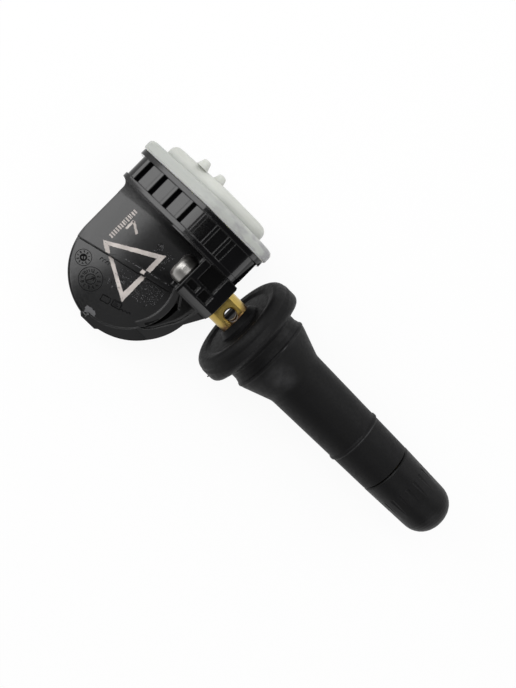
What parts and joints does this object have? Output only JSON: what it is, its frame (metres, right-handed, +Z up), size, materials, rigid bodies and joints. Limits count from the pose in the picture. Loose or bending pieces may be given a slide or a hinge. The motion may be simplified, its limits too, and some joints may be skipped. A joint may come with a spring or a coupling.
{
  "type": "tyre pressure sensor",
  "caption": "Snap-in rubber tyre valve with a wheel pressure sensor screwed to its brass tail: ribbed plastic housing, D-shaped cell pocket and translucent lid.",
  "frame": {"origin": "centre of the rubber stem's rim groove, on the valve axis", "axes": "+X along the valve axis from the housing out to the cap, +Y from the valve axis towards the lid, +Z up from the side that the part lies on to the marked face"},
  "size_m": [0.081, 0.0331, 0.0198],
  "materials": {
    "stem_rubber": "satin moulded rubber",
    "tube_brass": "turned and milled brass",
    "core_brass": "turned brass",
    "red_seal": "moulded seal",
    "seal_rubber": "moulded seal",
    "spring_steel": "drawn wire",
    "cap_plastic": "moulded plastic",
    "housing_plastic": "glass-filled moulded plastic, soft sheen",
    "lid_plastic": "milky translucent moulded plastic",
    "screw_steel": "bright plated steel",
    "board": "solder mask on glass board",
    "cell_steel": "plated steel",
    "chip": "moulded chip package",
    "filter": "porous film",
    "ferrite": "sintered ferrite",
    "copper_wire": "enamelled winding",
    "antenna": "formed strip",
    "ceramic": "ceramic chip"
  },
  "bodies": {
    "sensor": {"rubber_stem": "stem_rubber", "valve_tube": "tube_brass", "core_plug": "core_brass", "core_barrel": "core_brass", "core_barrel_seal": "red_seal", "core_spring": "spring_steel", "housing": "housing_plastic", "lid": "lid_plastic", "retaining_screw": "screw_steel", "circuit_board": "board", "coin_cell": "cell_steel", "cell_tab_positive": "cell_steel", "cell_tab_negative": "cell_steel", "pressure_chip": "chip", "port_seal": "seal_rubber", "port_filter": "filter", "transmitter_chip": "chip", "crystal": "cell_steel", "wake_coil_core": "ferrite", "wake_coil_winding": "copper_wire", "loop_antenna": "antenna", "capacitors": "ceramic"},
    "cap": {"dust_cap": "cap_plastic", "cap_seal": "seal_rubber"},
    "pin": {"core_pin": "core_brass", "core_cup": "core_brass", "core_cup_seal": "seal_rubber"}
  },
  "joints": [
    {"name": "cap_unscrew", "type": "slide", "parent": "sensor", "child": "cap", "axis": [1, 0, 0], "range_m": [0, 0.012]},
    {"name": "core_press", "type": "slide", "parent": "sensor", "child": "pin", "axis": [-1, 0, 0], "range_m": [0, 0.0012], "stiffness_N_per_m": 800, "springref_m": -0.001, "deforming": ["core_spring"]}
  ]
}
